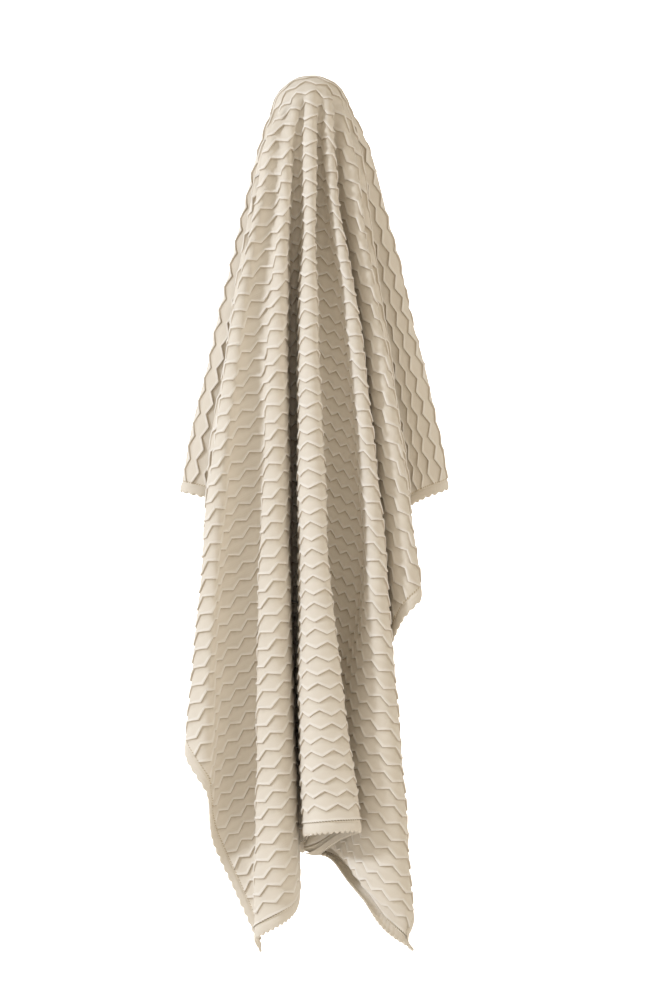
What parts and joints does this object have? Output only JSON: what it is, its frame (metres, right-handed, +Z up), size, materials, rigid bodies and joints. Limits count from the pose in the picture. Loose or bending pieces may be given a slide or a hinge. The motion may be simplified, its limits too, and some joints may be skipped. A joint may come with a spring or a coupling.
{
  "type": "knitted chevron blanket",
  "caption": "Cream knitted blanket with a raised chevron pattern, hung by its middle over a round peg so that it falls in deep uneven folds to pointed corners.",
  "frame": {"origin": "on the cloth's underside at the top of the crown, where the peg's round end carries it", "axes": "+Z up, -Y toward the front as pictured, +Y toward the wall, +X toward the viewer's right"},
  "size_m": [0.2431, 0.1723, 0.7745],
  "materials": {
    "cream_knit": "soft matt cotton knit"
  },
  "bodies": {
    "root": {"blanket": "cream_knit"}
  },
  "joints": []
}
